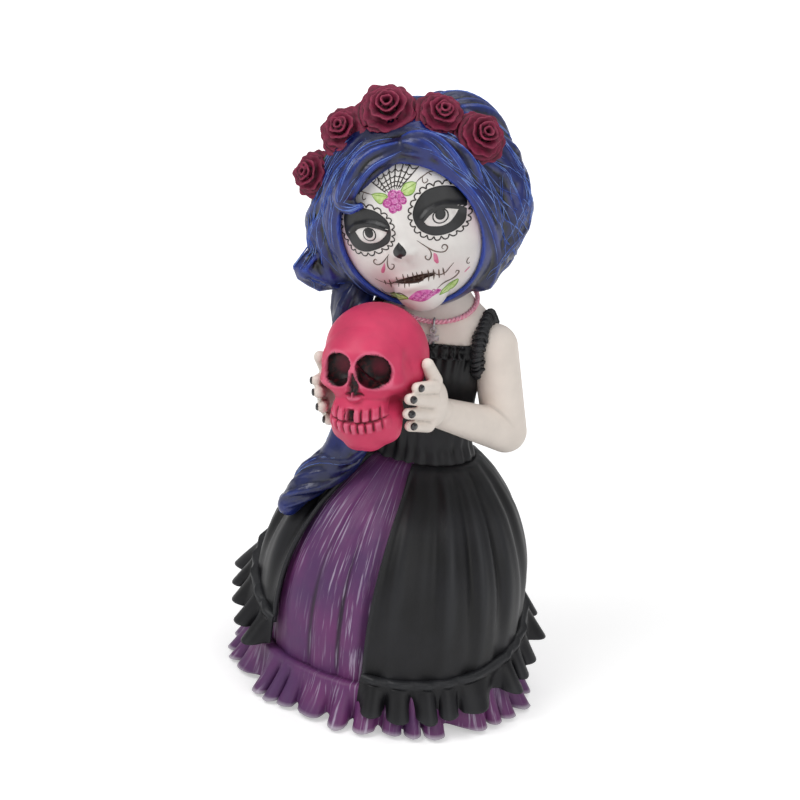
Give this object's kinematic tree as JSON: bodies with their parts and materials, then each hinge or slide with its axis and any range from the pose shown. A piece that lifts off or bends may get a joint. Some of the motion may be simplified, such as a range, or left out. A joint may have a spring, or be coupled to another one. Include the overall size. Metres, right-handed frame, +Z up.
{
  "type": "papier-mache catrina figure",
  "caption": "Painted catrina doll in a bell skirt with a rose wreath, holding a skull; its necklace pendant swings.",
  "frame": {"origin": "middle of the skirt's foot on the surface the figure stands on", "axes": "+Z up, -Y is the way the doll faces, +X is the doll's left"},
  "size_m": [0.1001, 0.0951, 0.1862],
  "materials": {
    "felt": "black felt",
    "board": "sanded plywood",
    "dowel": "turned dowel",
    "steel": "plain steel wire and screw",
    "paper_core": "pressed pulp",
    "purple_cloth": "satin paint, dry-brushed silver",
    "black_cloth": "satin black paint",
    "skin": "matte paint",
    "face": "matte paint",
    "pink_bone": "matte paint",
    "blue_hair": "satin paint, dry-brushed",
    "stem": "matte paint",
    "rose": "matte paint, dark wash",
    "cord": "twisted cord",
    "silver": "plated metal"
  },
  "bodies": {
    "figure": {"arm_wire": "steel", "armature_post": "dowel", "base_board": "board", "bodice": "black_cloth", "felt_pad": "felt", "fringe_left": "blue_hair", "fringe_right": "blue_hair", "front_tress": "blue_hair", "hair_back": "blue_hair", "hair_cap": "blue_hair", "hair_left": "blue_hair", "hair_right": "blue_hair", "head": "face", "hem_ruffle": "purple_cloth", "left_arm": "skin", "left_hand": "skin", "left_strap": "black_cloth", "necklace": "cord", "neckline_frill": "black_cloth", "overskirt": "black_cloth", "overskirt_ruffle": "black_cloth", "post_screw": "steel", "right_arm": "skin", "right_hand": "skin", "right_strap": "black_cloth", "rose_1": "rose", "rose_2": "rose", "rose_3": "rose", "rose_4": "rose", "rose_5": "rose", "rose_wires": "steel", "shoulders": "skin", "skirt_core": "paper_core", "skull": "pink_bone", "underskirt": "purple_cloth", "wreath_band": "stem", "wrist_pins": "steel"},
    "jump_ring": {"jump_ring": "silver"},
    "pendant": {"pendant": "silver"}
  },
  "joints": [
    {"name": "ring_swing", "type": "hinge", "parent": "figure", "child": "jump_ring", "pos_m": [0.00944, -0.0065, 0.11901], "axis": [0.8829, 0.4695, 0], "range_deg": [-60, 0]},
    {"name": "pendant_sway", "type": "hinge", "parent": "jump_ring", "child": "pendant", "pos_m": [0.00944, -0.0065, 0.11646], "axis": [0.4695, -0.8829, 0], "range_deg": [-20, 20]}
  ]
}
